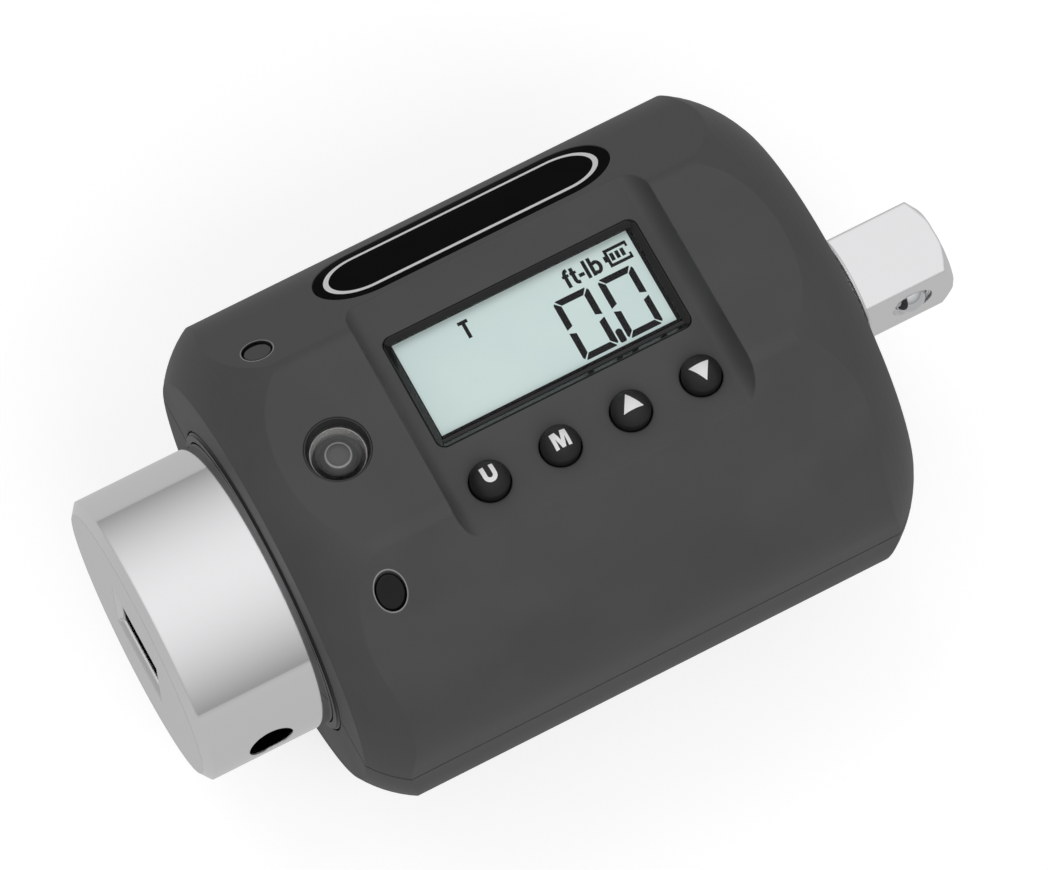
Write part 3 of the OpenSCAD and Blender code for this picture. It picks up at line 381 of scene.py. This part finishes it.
# %% Clear plastics
def clear_sheet(name, gloss):
    skin = Finish(name, (1, 1, 1), 0.03)
    tree = skin.tree
    clear = skin.add("BsdfTransparent", inputs=[(1, 1, 1, 1)])
    shine = skin.add("BsdfGlossy", inputs={"Color": (1, 1, 1, 1), "Roughness": 0.03})
    fresnel = skin.add("Fresnel", inputs={"IOR": 1.45})
    front = 1 - skin.add("NewGeometry", output="Backfacing")
    mix = skin.add("MixShader", inputs=[fresnel * front * gloss, clear, shine])
    tree.links.new(mix.socket, tree.nodes["Material Output"].inputs["Surface"])
    return skin


WINDOW_CLEAR, LENS_CLEAR = clear_sheet("clear_window", 0.35), clear_sheet("clear_lens", 1.0)
dress(WINDOW_CLEAR, "display_window")
dress(LENS_CLEAR, "lamp_lens")

# %% [markdown]
# ## Display glass
#
# A reflective display is a pale green grey that drifts a little from one side to the
# other. It is darker under the rim at the top, which the real depth of the recess
# gives, so only the drift and a fine pixel-free mottle are painted.

# %% Liquid crystal glass
lcd = Finish("lcd_glass", (0.64, 0.80, 0.76), 0.45, Specular_IOR_Level=0.2)
drift = lcd.noise(7, 2)
lcd.put("Base Color", lcd.blend(drift.step(0.35, 0.65), (0.71, 0.86, 0.84), (0.74, 0.88, 0.84)))
lcd.put("Normal", lcd.bumps(lcd.noise(0.15), 0.0005))
dress(lcd, "lcd_panel")
LCD_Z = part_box("lcd_panel")[1].z
print("display glass at", round(LCD_Z / MM, 2), "mm")


# %% [markdown]
# ## Figures on the display
#
# The figures are flat dark shapes on the glass. Each bar of a figure is a polygon with
# mitred ends, so a bmesh face per bar is enough, given a hair of thickness. The small
# letters are strips along a few points, as a broad pen would draw them. The
# reading is 0.0 with a unit, a letter for the measuring mode and a battery sign, which
# are generic marks.


# %% Helpers for flat shapes
def new_piece(name, mesh, finish, body):
    piece = bpy.data.objects.new(name, mesh)
    bpy.context.scene.collection.objects.link(piece)
    piece.data.materials.append(finish.material)
    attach(piece, body)
    return piece


def bm_mesh(name, bm):
    mesh = bpy.data.meshes.new(name)
    bm.to_mesh(mesh)
    bm.free()
    return mesh


def add_face(bm, points, z):
    return bm.faces.new([bm.verts.new((x * MM, y * MM, z)) for x, y in points])


def thicken(bm, height):
    """Gives flat faces a little body, upwards."""
    made = bmesh.ops.extrude_face_region(bm, geom=bm.faces[:])
    tops = [g for g in made["geom"] if isinstance(g, bmesh.types.BMVert)]
    bmesh.ops.translate(bm, verts=tops, vec=(0, 0, height))
    bmesh.ops.recalc_face_normals(bm, faces=bm.faces[:])


# %% Draw the figures
INK = plastic("display_ink", (0.011, 0.010, 0.012), 0.5, 0.3, 0.0005, 0.02, shine=0.05)
FIGURE_X, FIGURE_Y = (7.19, 12.65), 1.95
ink = bmesh.new()


def zero(bm, cx, cy, z):
    """A seven-bar zero: two level bars and four uprights round a missing middle."""
    half_w, half_h, bar, gap = 2.15, 3.84, 0.75, 0.08
    level = [(half_w - 0.42, half_h), (half_w - 0.30, half_h - 0.06), (half_w - bar - gap, half_h - bar)]
    level += [(-x, y) for x, y in reversed(level)]
    upright = [(half_w - 0.14, half_h - 0.20), (half_w, half_h - 0.42), (half_w, 0.19), (half_w - bar, 0.48),
               (half_w - bar, half_h - bar - gap)]
    for s in (1, -1):
        add_face(bm, [(cx + x, cy + s * y) for x, y in level], z)
        for t in (1, -1):
            add_face(bm, [(cx + t * x, cy + s * y) for x, y in upright], z)


def rectangle(bm, x0, y0, x1, y1, z):
    return add_face(bm, [(x0, y0), (x1, y0), (x1, y1), (x0, y1)], z)


def stroke(bm, points, width, z):
    """A strip of four-sided faces along some points, as a broad pen draws it."""
    points = [Vector(point) for point in points]
    rails = []
    for i, point in enumerate(points):
        before, after = points[max(i - 1, 0)], points[min(i + 1, len(points) - 1)]
        way = (after - before).normalized()
        side = Vector((-way.y, way.x)) * width / 2
        rails.append([bm.verts.new((*((point + side * s) * MM), z)) for s in (1, -1)])
    for (a, b), (c, d) in zip(rails, rails[1:]):
        bm.faces.new((a, c, d, b))


for x in FIGURE_X:
    zero(ink, x, FIGURE_Y, LCD_Z)
POINT = [(9.52, -1.72), (9.64, -1.87), (10.16, -1.87), (10.28, -1.72), (10.28, -0.42), (10.06, -0.2), (9.76, -0.2),
         (9.52, -0.42)]
add_face(ink, POINT, LCD_Z)
BATTERY = [(13.2, 7.08, 13.64, 8.0), (13.85, 7.08, 14.27, 8.0), (14.48, 7.08, 14.9, 8.0), (12.72, 8.28, 15.5, 8.64),
           (12.72, 6.43, 15.5, 6.79), (12.72, 6.79, 13.06, 8.28), (12.42, 7.2, 12.72, 7.95),
           (15.24, 7.95, 15.5, 8.32), (15.24, 6.75, 15.5, 7.15)]
for box in BATTERY:
    rectangle(ink, *box, LCD_Z)
PEN = 0.42
stroke(ink, [(7.77, 6.43), (7.77, 8.1), (7.84, 8.33), (7.98, 8.46), (8.2, 8.48)], PEN, LCD_Z)
stroke(ink, [(8.65, 8.52), (8.65, 6.95), (8.71, 6.74), (8.85, 6.62), (9.08, 6.62)], PEN, LCD_Z)
UNIT_BOXES = [(7.4, 7.70, 7.585, 8.02), (7.955, 7.70, 8.18, 8.02), (8.32, 7.72, 8.465, 8.04),
              (8.835, 7.72, 9.06, 8.04), (9.18, 7.04, 9.84, 7.46), (10.0, 6.43, 10.41, 8.67),
              (10.64, 6.43, 11.05, 8.67)]
for box in UNIT_BOXES:
    rectangle(ink, *box, LCD_Z)
turns = [math.radians(10 + 20 * i) for i in range(9)]
bowl = [(11.3 + 0.48 * math.sin(a), 7.28 + 0.66 * math.cos(a)) for a in turns]
stroke(ink, [(11.03, 7.8)] + bowl + [(11.03, 6.74)], PEN, LCD_Z)
LETTER_T = [(-5.19, 8.61), (-5.19, 8.21), (-4.78, 8.21), (-4.78, 6.40), (-4.36, 6.40), (-4.36, 8.21), (-4.01, 8.21),
            (-4.01, 8.61)]
add_face(ink, LETTER_T, LCD_Z)
thicken(ink, 0.02 * MM)
new_piece("display_figures", bm_mesh("display_figures", ink), INK, "meter")

# %% [markdown]
# ## Pane over the display
#
# The CAD window rests on the display glass, so the two share a plane. A renderer can't
# tell which of two such faces comes first and loses light there. A pane with the same
# outline takes the window's place, with a hair of air under it and its edges eased.

# %% Clear pane
AIR = 0.05 * MM
low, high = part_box("display_window")
pane = bmesh.new()
bmesh.ops.create_cube(pane, size=1)
bmesh.ops.scale(pane, vec=(high.x - low.x, high.y - low.y, high.z - low.z - AIR), verts=pane.verts[:])
bmesh.ops.bevel(pane, geom=pane.edges[:], offset=0.08 * MM, segments=2, profile=0.5, affect="EDGES", material=-1)
middle = ((low.x + high.x) / 2, (low.y + high.y) / 2, (low.z + high.z + AIR) / 2)
bmesh.ops.translate(pane, vec=middle, verts=pane.verts[:])
glass = new_piece("display_pane", bm_mesh("display_pane", pane), WINDOW_CLEAR, "meter")
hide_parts("display_window")
# This black border on the pane's underside is partly print and partly painted shade: its inner edge comes in to where
# the rim's shadow and the dark gap at the rim darken the display's edges.
border = bmesh.new()
loops = []
for box in ((low.x / MM, low.y / MM, high.x / MM, high.y / MM), (-12.66, -2.25, 16.12, 9.58)):
    face = rectangle(border, *box, LCD_Z + 0.025 * MM)
    loops += face.edges[:]
    bmesh.ops.delete(border, geom=[face], context="FACES_ONLY")
bmesh.ops.bridge_loops(border, edges=loops)
thicken(border, 0.01 * MM)
new_piece("pane_print_and_rim_shade", bm_mesh("pane_print_and_rim_shade", border), INK, "meter")
print("pane", round((high.z - low.z - AIR) / MM, 2), "mm thick")

# %% [markdown]
# ## Lamp
#
# Under its clear dome the lamp is a little well: a frosted wall, a grey floor and the
# rounded body of the diode. Each is a profile spun round the lamp's axis, because the
# parts of a lamp are turned shapes. A pale flecked ring on the diode's body is a painted
# reflection of its reflector cup.

# %% Lens cap, well and bulb
low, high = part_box("lamp_lens")
LAMP_X, LAMP_TOP, LAMP_FOOT = (low.x + high.x) / 2, high.z, low.z
LENS_R, FLANGE_R, DOME = 3.15 * MM, (high.x - low.x) / 2, 1.1 * MM


def arc_down(top, reach, drop, steps=8):
    """Points of a shallow dome's profile, from its middle to its edge."""
    radius = (reach * reach + drop * drop) / (2 * drop)
    turns = [math.asin(reach / radius) * i / steps for i in range(steps + 1)]
    return [(radius * math.sin(a), top - radius * (1 - math.cos(a))) for a in turns]


def turned_piece(name, profile, finish, lying=False):
    """Spins a profile of (radius, height) round the lamp's axis, or lying round the drive's."""
    bm = bmesh.new()
    ring = [bm.verts.new((height, 0, radius) if lying else (radius, 0, height)) for radius, height in profile]
    edges = [bm.edges.new((a, b)) for a, b in zip(ring, ring[1:])]
    axis, home = ((1, 0, 0), (0, 0, AXIS_Z)) if lying else ((0, 0, 1), (LAMP_X, 0, 0))
    bmesh.ops.spin(bm, geom=ring + edges, axis=axis, cent=(0, 0, 0), angle=2 * math.pi, steps=64, use_merge=True)
    bmesh.ops.remove_doubles(bm, verts=bm.verts[:], dist=1e-6)
    bmesh.ops.recalc_face_normals(bm, faces=bm.faces[:])
    bmesh.ops.translate(bm, vec=home, verts=bm.verts[:])
    for face in bm.faces:
        face.smooth = True
    mesh = bm_mesh(name, bm)
    mesh.set_sharp_from_angle(angle=math.radians(35))
    return new_piece(name, mesh, finish, "meter")


def lamp_radius(skin):
    """How far a point is from the lamp's axis."""
    spot = skin.add("VectorMath", {"operation": "SUBTRACT"}, [skin.place(), (LAMP_X, 0, 0)])
    level = skin.add("VectorMath", {"operation": "MULTIPLY"}, [spot, (1, 1, 0)])
    return skin.add("VectorMath", {"operation": "LENGTH"}, [level], output="Value")


def lamp_wall(name, light, dark, rough, inside):
    """Frosted with coarse specks above the floor, up to a radius of inside; dark elsewhere."""
    skin = Finish(name, dark, rough)
    speck = skin.noise(0.3, 3, 0.7)
    lit = 1 - lamp_radius(skin).step(inside - 0.06 * MM, inside)
    lit = lit * skin.place("Z").step(LAMP_FOOT + 0.55 * MM, LAMP_FOOT + 0.65 * MM)
    bright = skin.blend(speck.step(0.3, 0.7), tuple(c * 0.75 for c in light), tuple(c * 1.2 for c in light))
    skin.put("Base Color", skin.blend(lit, dark, bright))
    skin.put("Roughness", rough + lit * 0.3)
    skin.put("Normal", skin.bumps(speck * lit, 0.02))
    return skin


cap_edge = LAMP_TOP - DOME
outer = arc_down(LAMP_TOP, LENS_R, DOME)
inner = arc_down(LAMP_TOP - 0.5 * MM, LENS_R - 0.25 * MM, DOME - 0.1 * MM)
foot = [(LENS_R, cap_edge - 0.5 * MM), (LENS_R - 0.25 * MM, cap_edge - 0.5 * MM)]
cap = turned_piece("lamp_lens_cap", outer + foot + inner[::-1], LENS_CLEAR)
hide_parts("lamp_lens")
floor_z, wall_top = LAMP_FOOT + 0.5 * MM, cap_edge - 0.52 * MM
flange_top = LAMP_FOOT + 0.9 * MM
well = [(0, LAMP_FOOT), (FLANGE_R, LAMP_FOOT), (FLANGE_R, flange_top), (LENS_R, flange_top), (LENS_R, wall_top),
        (LENS_R - 0.12 * MM, wall_top), (LENS_R - 0.2 * MM, floor_z + 0.1 * MM), (LENS_R - 0.4 * MM, floor_z),
        (0, floor_z)]
frosted = lamp_wall("frosted_well", (0.55, 0.54, 0.53), (0.035, 0.037, 0.037), 0.30, 3.3 * MM)
turned_piece("lamp_well", well, frosted)
dress(plastic("dark_lamp_ring", (0.026, 0.026, 0.027), 0.30, 0.3, 0.004), "lamp_ring")
bulb = Finish("bulb_resin", (0.05, 0.052, 0.052), 0.06)
span = lamp_radius(bulb)
# Painted reflection: a pale flecked ring in the resin's colour stands in for the diode's reflector cup seen shining
# through the dome.
rim = span.step(1.26 * MM, 1.36 * MM) * (1 - span.step(1.44 * MM, 1.56 * MM))
fleck = bulb.noise(0.4, 3, 0.7)
cup_reflection = rim * (0.3 + fleck * 0.4)
bulb.put("Base Color", bulb.blend(cup_reflection, (0.05, 0.052, 0.052), (0.62, 0.62, 0.60)))
bulb.put("Roughness", 0.16 + fleck * 0.08)
bulb_top = LAMP_TOP - 1.35 * MM
body = arc_down(bulb_top, 2.02 * MM, 0.75 * MM) + [(2.06 * MM, floor_z - 0.1 * MM), (0, floor_z - 0.1 * MM)]
turned_piece("lamp_bulb", body, bulb)
print("lamp well", round((cap_edge - floor_z) / MM, 2), "mm deep")

# %% [markdown]
# ## Neck band
#
# Where the square leaves the housing the real shaft has a narrow round shoulder, which
# shows as a bright line along the housing. It is turned from a short profile with its
# edges broken, round the drive's own axis.

# %% Round shoulder of the shaft
SHOULDER_X, SHOULDER_W, SHOULDER_R, BROKEN = 38.4 * MM, 0.45 * MM, 7.0 * MM, 0.1 * MM
far_x = SHOULDER_X + SHOULDER_W
turned_piece("neck_band", [(4 * MM, SHOULDER_X), (SHOULDER_R - BROKEN, SHOULDER_X), (SHOULDER_R, SHOULDER_X + BROKEN),
                           (SHOULDER_R, far_x - BROKEN), (SHOULDER_R - BROKEN, far_x), (4 * MM, far_x), (4 * MM, SHOULDER_X)],
             chrome, lying=True)
print("neck band", round(2 * SHOULDER_R / MM, 1), "mm across")

# %% [markdown]
# ## Plugs in the screw recesses
#
# The two recesses on the top are closed by small glossy plugs that lie just under the
# slope of the housing. The slope is measured with four rays beside each recess, so the
# plug follows the housing even where its end is rounded.

# %% Recess plugs
shell = bmesh.new()
shell.from_mesh(NODES["upper_shell"].data)
shell_tree = BVHTree.FromBMesh(shell)
shell.free()
plugs = bmesh.new()
PLUG_R, PLUG_DEPTH, PLUG_SINK = 1.6 * MM, 0.6 * MM, 0.35 * MM
for x, y, on_top in SCREWS:
    if on_top:
        ring = [shell_tree.ray_cast(Vector((x + dx, y + dy, 80)) * MM, Vector((0, 0, -1)))[0]
                for dx, dy in ((2.2, 0), (0, 2.2), (-2.2, 0), (0, -2.2))]
        slope = (ring[0] - ring[2]).cross(ring[1] - ring[3]).normalized()
        middle = sum(ring, Vector()) / 4
        disc = bmesh.ops.create_cone(plugs, cap_ends=True, segments=48, radius1=PLUG_R, radius2=PLUG_R,
                                     depth=PLUG_DEPTH)
        rims = [e for v in disc["verts"] if v.co.z > 0 for e in v.link_edges if all(o.co.z > 0 for o in e.verts)]
        bmesh.ops.bevel(plugs, geom=list(set(rims)), offset=0.2 * MM, segments=3, profile=0.5, affect="EDGES",
                        material=-1)
        verts = [v for v in plugs.verts if abs(v.co.z) < 0.01]
        for v in verts:
            depth = v.co.z - PLUG_DEPTH / 2 - PLUG_SINK
            v.co = Vector((x * MM + v.co.x, y * MM + v.co.y, 0))
            v.co.z = middle.z - ((v.co.x - middle.x) * slope.x + (v.co.y - middle.y) * slope.y) / slope.z + depth
bmesh.ops.recalc_face_normals(plugs, faces=plugs.faces[:])
PLUG = plastic("gloss_black_plug", (0.004, 0.004, 0.004), 0.10, 0.5, 0.004, 0.05, shine=0.35)
new_piece("recess_plugs", bm_mesh("recess_plugs", plugs), PLUG, "meter")
print("two recess plugs")

# %% [markdown]
# ## Prints on the keys
#
# The marks are printed in white on domed rubber. Each mark is cut as a flat shape,
# divided finely and dropped onto its key with a ray, so that it follows the dome and
# moves with the key.


# %% Drop flat shapes onto a surface
def tree_of(name):
    source = bmesh.new()
    source.from_mesh(NODES[name].data)
    bmesh.ops.remove_doubles(source, verts=source.verts[:], dist=1e-7)
    tree = BVHTree.FromBMesh(source)
    source.free()
    return tree


def refine(bm, step):
    """Cuts long edges until each is shorter than step."""
    for _ in range(7):
        long_edges = [e for e in bm.edges if e.calc_length() > step]
        if not long_edges:
            break
        bmesh.ops.subdivide_edges(bm, edges=long_edges, cuts=1)
        bmesh.ops.triangulate(bm, faces=bm.faces[:])


def drop(bm, tree, way, lift):
    """Moves each corner along way until it lies lift above the surface."""
    for vert in bm.verts:
        hit, normal, _, _ = tree.ray_cast(vert.co - way * 0.02, way)
        if hit is not None:
            vert.co = hit + normal * lift if normal.dot(way) < 0 else hit - normal * lift


PRINT = plastic("white_print", (0.82, 0.82, 0.82), 0.45, 0.2, 0.001, 0.02, spread=0.02)


def key_print(key, body, kind):
    low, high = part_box(key)
    cx, cy = (low.x + high.x) / 2 / MM, (low.y + high.y) / 2 / MM
    bm = bmesh.new()
    if kind == "M":
        half = [(0, -0.16), (0.30, 0.98), (0.96, 0.98), (0.96, -0.98), (0.55, -0.98), (0.55, 0.22), (0.21, -0.98)]
        whole = half + [(-x, y) for x, y in reversed(half[1:])]
        add_face(bm, [(cx + x, cy + y) for x, y in whole], 0)
    elif kind == "U":
        bend = [(0.56 * math.cos(a), -0.19 + 0.56 * math.sin(a)) for a in [-math.pi * i / 12 for i in range(13)]]
        stroke(bm, [(cx + x, cy + 0.1 + y) for x, y in [(0.56, 1.0)] + bend + [(-0.56, 1.0)]], 0.5, 0)
    else:
        flip = 1 if kind == "up" else -1
        corners = ((-1.2, -0.68), (1.2, -0.68), (0, 1.36))
        add_face(bm, [(cx + x * flip, cy + y * flip) for x, y in corners], 0)
    bmesh.ops.triangulate(bm, faces=bm.faces[:])
    refine(bm, 0.25 * MM)
    for vert in bm.verts:
        vert.co.z = high.z + 5 * MM
    drop(bm, tree_of(key), Vector((0, 0, -1)), 0.012 * MM)
    bmesh.ops.recalc_face_normals(bm, faces=bm.faces[:])
    new_piece(key + "_print", bm_mesh(key + "_print", bm), PRINT, body)


for key, body, kind in (("button_units", "key_units", "U"), ("button_mode", "key_mode", "M"),
                        ("button_up", "key_up", "up"), ("button_down", "key_down", "down")):
    key_print(key, body, kind)
print("four key prints")

# %% [markdown]
# ## Name plate
#
# The plate is bare, with only a thin light border. The border is a stadium-shaped
# strip, dropped onto the plate along the slanted face's normal.

# %% Border of the plate
low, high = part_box("badge_plate")
SLANT = Matrix.Rotation(math.radians(-45), 4, "X")
middle_x, line_y = (low.x + high.x) / 2 - 0.1 * MM, 0.49 * MM
line_r, line_reach, line_w = 4.41 * MM, 16.43 * MM, 0.63 * MM
strip = bmesh.new()
turns = 40
rings = []
for r in (line_r + line_w / 2, line_r - line_w / 2):
    ring = []
    for side in (1, -1):
        for i in range(turns + 1):
            a = math.pi * i / turns
            x = middle_x + side * (line_reach - line_r) + side * r * math.sin(a)
            ring.append(strip.verts.new((x, line_y + side * r * math.cos(a), 0)))
    rings.append([strip.edges.new((ring[i], ring[(i + 1) % len(ring)])) for i in range(len(ring))])
bmesh.ops.bridge_loops(strip, edges=rings[0] + rings[1])
bmesh.ops.subdivide_edges(strip, edges=[e for e in strip.edges if e.calc_length() > 3 * MM], cuts=24)
bmesh.ops.translate(strip, verts=strip.verts[:], vec=(0, 0, 0.05))
bmesh.ops.transform(strip, matrix=Matrix.Translation((0, 0, AXIS_Z)) @ SLANT, verts=strip.verts[:])
drop(strip, tree_of("badge_plate"), SLANT @ Vector((0, 0, -1)), 0.015 * MM)
bmesh.ops.recalc_face_normals(strip, faces=strip.faces[:])
new_piece("plate_border", bm_mesh("plate_border", strip), PRINT, "meter")
print("plate border")

# %% [markdown]
# ## Floor, light and the tent
#
# The photograph has a white background and soft light from everywhere, with a little
# more from above. The floor is white to the camera and keeps the meter's shadow. The
# world is a plain light grey for diffuse light. Rays from glossy surfaces see a plain
# light tent, brighter overhead than at the horizon, over a mid grey floor. The two
# softboxes are hidden from them, because their reflections would clip to white.

# %% Floor
floor_bm = bmesh.new()
bmesh.ops.create_grid(floor_bm, x_segments=1, y_segments=1, size=3)
floor = bpy.data.objects.new("floor", bm_mesh("floor", floor_bm))
bpy.context.scene.collection.objects.link(floor)
paper = Finish("white_paper", (0.5, 0.5, 0.5), 0.9, Specular_IOR_Level=0.0)
seen = paper.add("LightPath", output="Is Camera Ray")
glossy = paper.add("LightPath", output="Is Glossy Ray")
through = paper.add("LightPath", output="Is Transmission Ray")
paper.put("Base Color", paper.blend(glossy, (0.5, 0.5, 0.5), (0.1, 0.1, 0.1)))
paper.put("Emission Color", paper.blend(glossy, (0.68, 0.68, 0.68), (0.50, 0.50, 0.50)))
paper.put("Emission Strength", seen + glossy + through)
floor.data.materials.append(paper.material)

# %% World
world = bpy.data.worlds.new("tent")
bpy.context.scene.world = world
world.use_nodes = True


class Sky(Finish):
    """The same small language for the world's node tree."""

    def __init__(self, world):
        self.tree = world.node_tree
        self.shader = self.tree.nodes["Background"]


SKY_STRENGTH = 1.25
sky = Sky(world)
direction = sky.add("TexCoord", output="Generated")
height = sky.add("SeparateXYZ", inputs=[direction], output="Z")
tent = sky.blend(height.step(0.0, 1.0, smooth=False), (0.30, 0.30, 0.30), (0.80, 0.80, 0.80))
glossy = sky.add("LightPath", output="Is Glossy Ray")
clear = sky.add("LightPath", output="Is Camera Ray") + sky.add("LightPath", output="Is Transmission Ray")
soft = sky.blend(clear, (0.335, 0.335, 0.335), (0.8, 0.8, 0.8))
sky.put("Color", sky.blend(glossy, soft, tent))
sky.put("Strength", SKY_STRENGTH)


# %% Lamps
LAMP_DISTANCE = 0.8


def softbox(name, way, size, power):
    data = bpy.data.lights.new(name, "AREA")
    data.shape, data.size, data.size_y, data.energy = "RECTANGLE", size[0], size[1], power
    lamp = bpy.data.objects.new(name, data)
    bpy.context.scene.collection.objects.link(lamp)
    lamp.location = Vector((0, 0, AXIS_Z)) + Vector(way).normalized() * LAMP_DISTANCE
    lamp.rotation_euler = Vector(way).to_track_quat("Z", "Y").to_euler()
    lamp.visible_glossy = False


softbox("key", (-0.15, 0.45, 0.85), (0.6, 0.6), 1.2)
softbox("fill", (0.0, -0.70, 0.71), (0.7, 0.5), 2.6)
print("floor, tent and two softboxes")

# %% [markdown]
# ## Finish
#
# The view transform stays plain, so that a colour renders about as it is written.

bpy.context.scene.view_settings.view_transform = "Standard"
